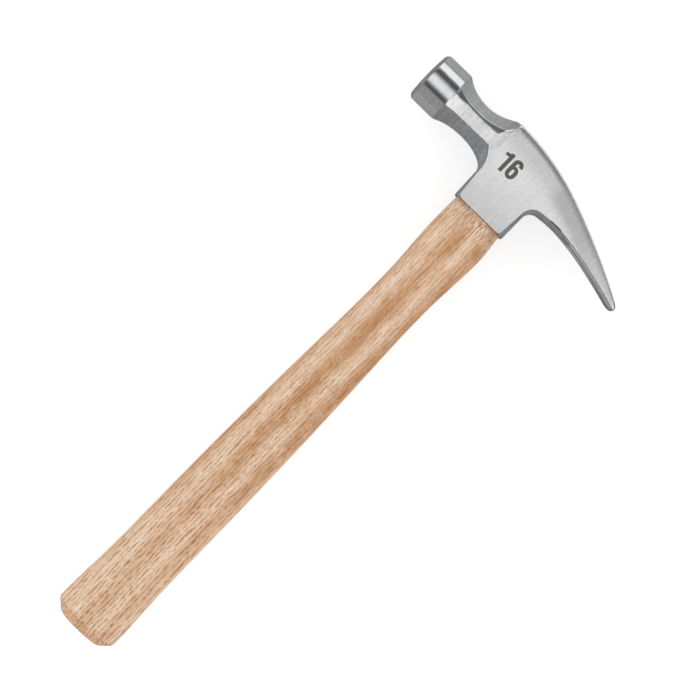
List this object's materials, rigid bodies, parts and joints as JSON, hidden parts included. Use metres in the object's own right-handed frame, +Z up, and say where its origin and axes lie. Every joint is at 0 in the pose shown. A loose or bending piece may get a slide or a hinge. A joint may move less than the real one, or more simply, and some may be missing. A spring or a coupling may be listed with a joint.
{
  "type": "straight claw hammer",
  "caption": "Straight claw hammer: forged steel head with round poll, faceted neck and slotted claw, wedged on a tapered wooden handle with a chamfered butt.",
  "frame": {"origin": "under the middle of the hammer's box, on the surface that it lies on", "axes": "+Y up the handle towards the head, +X from the striking face towards the claw, +Z up out of the upper cheek"},
  "size_m": [0.1464, 0.3298, 0.0284],
  "materials": {
    "head_steel": "ground and brushed cheeks and claw, polished poll, darker ground facets on the neck",
    "handle_oak": "pale oak with fine pores along the handle, thin clear satin lacquer",
    "wedge_wood": "sawn end grain, bare",
    "wedge_steel": "dull grey, as stamped"
  },
  "bodies": {
    "root": {"head": "head_steel", "handle": "handle_oak", "wood_wedge": "wedge_wood", "steel_wedge_front": "wedge_steel", "steel_wedge_rear": "wedge_steel"}
  },
  "joints": []
}
